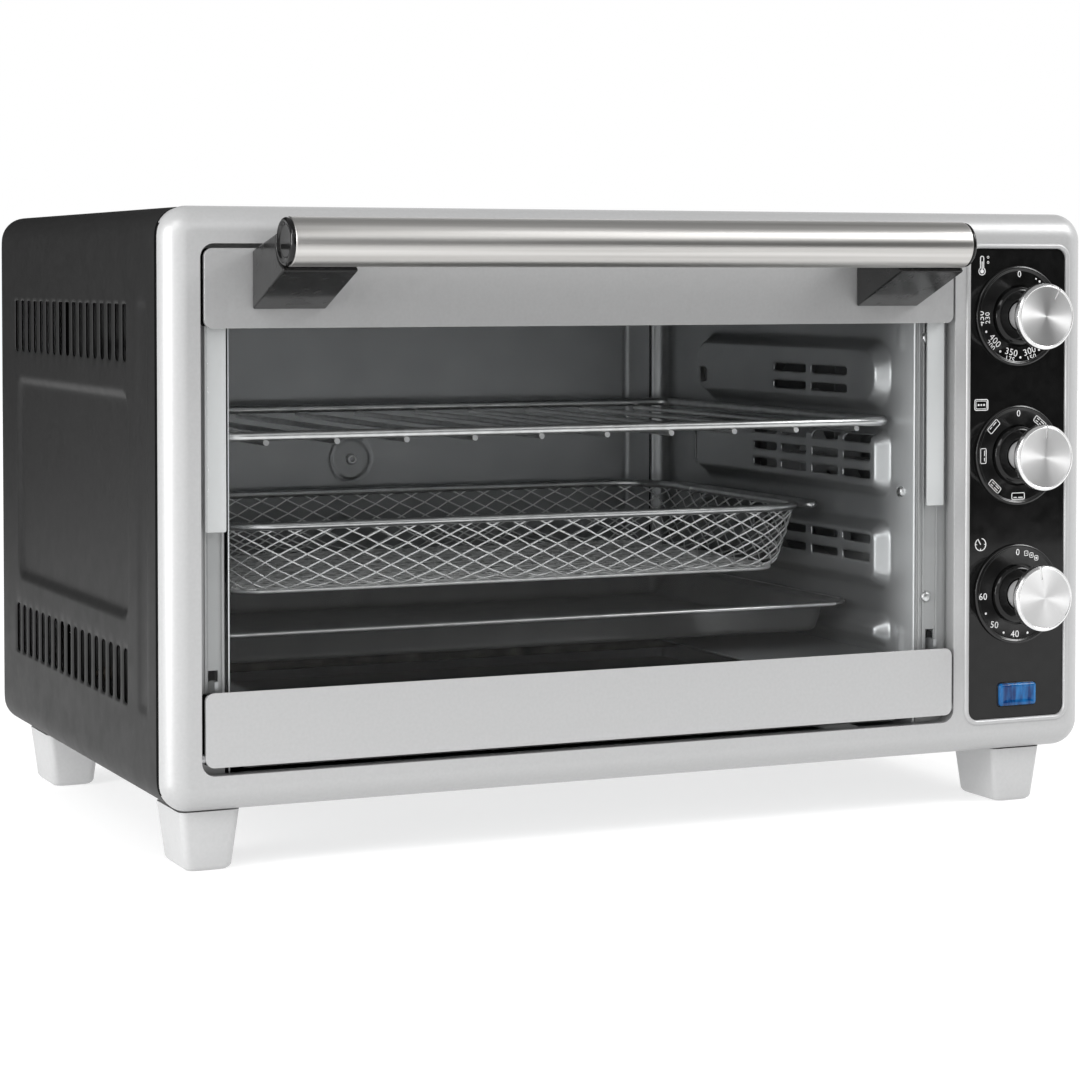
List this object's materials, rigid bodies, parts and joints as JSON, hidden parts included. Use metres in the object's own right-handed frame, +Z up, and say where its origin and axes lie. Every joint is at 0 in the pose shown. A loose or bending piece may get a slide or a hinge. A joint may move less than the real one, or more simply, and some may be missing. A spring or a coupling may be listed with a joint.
{
  "type": "toaster oven",
  "caption": "Countertop toaster oven with a drop-down glass door, bar handle, three rotary controls, wire rack, mesh air-fry basket and baking pan.",
  "frame": {"origin": "middle of the footprint's bounding box, on the surface that the feet stand on", "axes": "+X to the right seen from the front, -Y out of the door, +Z up"},
  "size_m": [0.456, 0.3422, 0.2803],
  "materials": {
    "satin_silver": "satin silver paint",
    "silver_plastic": "satin silver lacquer on a moulding",
    "charcoal_paint": "satin charcoal powder coat",
    "black_gloss": "piano-black gloss",
    "black_plastic": "fine satin black",
    "brushed_steel": "brushed round the tube",
    "chrome": "bright plated wire",
    "spun_aluminium": "spun face with a bright rim",
    "galvanised_steel": "dull galvanised sheet",
    "dark_pan": "dark non-stick coat with a worn bright rim",
    "door_glass": "clear tempered",
    "blue_lens": "translucent blue",
    "heater_sheath": "heat-darkened sheath",
    "brass": "turned",
    "cream_plastic": "plain moulding"
  },
  "bodies": {
    "oven": {"outer_casing": "charcoal_paint", "rear_cover": "galvanised_steel", "base_plate": "galvanised_steel", "foot_front_left": "silver_plastic", "foot_front_right": "silver_plastic", "foot_rear_left": "silver_plastic", "foot_rear_right": "silver_plastic", "front_bezel": "silver_plastic", "control_panel": "black_gloss", "indicator_lens": "blue_lens", "indicator_lamp": "black_plastic", "control_carrier": "galvanised_steel", "thermostat": "cream_plastic", "mode_switch": "black_plastic", "timer_movement": "galvanised_steel", "cavity_left_wall": "galvanised_steel", "cavity_right_wall": "galvanised_steel", "cavity_back_wall": "galvanised_steel", "cavity_top": "galvanised_steel", "cavity_floor": "galvanised_steel", "cavity_front_frame": "galvanised_steel", "heater_upper_front": "heater_sheath", "heater_upper_rear": "heater_sheath", "heater_lower_front": "heater_sheath", "heater_lower_rear": "heater_sheath", "fan_shroud": "galvanised_steel", "fan_motor": "galvanised_steel", "cord_gland": "black_plastic", "terminal_block": "cream_plastic", "temperature_dial_ring": "black_plastic", "mode_dial_ring": "black_plastic", "timer_dial_ring": "black_plastic"},
    "door": {"door_top_rail": "satin_silver", "door_bottom_rail": "satin_silver", "door_glass": "door_glass", "glass_strip_left": "satin_silver", "glass_strip_right": "satin_silver", "hinge_arm_left": "galvanised_steel", "hinge_arm_right": "galvanised_steel", "handle_tube": "brushed_steel", "handle_end_cap_left": "black_gloss", "handle_end_cap_right": "black_gloss", "handle_bracket_left": "black_gloss", "handle_bracket_right": "black_gloss"},
    "temperature_knob": {"temperature_knob_skirt": "black_gloss", "temperature_knob_cap": "spun_aluminium", "temperature_spindle": "brass"},
    "mode_knob": {"mode_knob_skirt": "black_gloss", "mode_knob_cap": "spun_aluminium", "mode_spindle": "brass"},
    "timer_knob": {"timer_knob_skirt": "black_gloss", "timer_knob_cap": "spun_aluminium", "timer_spindle": "brass"},
    "fan": {"fan_wheel": "galvanised_steel"},
    "rack": {"wire_rack": "chrome"},
    "basket": {"basket_rim": "chrome", "basket_mesh": "chrome"},
    "pan": {"baking_pan": "dark_pan"},
    "crumbs": {"crumb_tray": "galvanised_steel"}
  },
  "joints": [
    {"name": "door_hinge", "type": "hinge", "parent": "oven", "child": "door", "pos_m": [-0.0287, -0.11588, 0.049], "axis": [1, 0, 0], "range_deg": [0, 85], "stiffness_Nm_per_rad": 0.1, "springref_deg": -114.59},
    {"name": "temperature_turn", "type": "hinge", "parent": "oven", "child": "temperature_knob", "pos_m": [0.1895, -0.14238, 0.232], "axis": [0, 1, 0], "range_deg": [-30, 240]},
    {"name": "mode_turn", "type": "hinge", "parent": "oven", "child": "mode_knob", "pos_m": [0.1895, -0.14238, 0.1663], "axis": [0, 1, 0], "range_deg": [-3, 312]},
    {"name": "timer_turn", "type": "hinge", "parent": "oven", "child": "timer_knob", "pos_m": [0.1895, -0.14238, 0.1006], "axis": [0, 1, 0], "range_deg": [0, 280]},
    {"name": "fan_spin", "type": "hinge", "parent": "oven", "child": "fan", "pos_m": [0.151, -0.02088, 0.161], "axis": [1, 0, 0], "continuous": true},
    {"name": "rack_slide", "type": "slide", "parent": "oven", "child": "rack", "axis": [0, -1, 0], "range_m": [0, 0.018]},
    {"name": "basket_slide", "type": "slide", "parent": "oven", "child": "basket", "axis": [0, -1, 0], "range_m": [0, 0.07]},
    {"name": "pan_slide", "type": "slide", "parent": "oven", "child": "pan", "axis": [0, -1, 0], "range_m": [0, 0.044]},
    {"name": "crumb_tray_slide", "type": "slide", "parent": "oven", "child": "crumbs", "axis": [0, -1, 0], "range_m": [0, 0.006]}
  ]
}
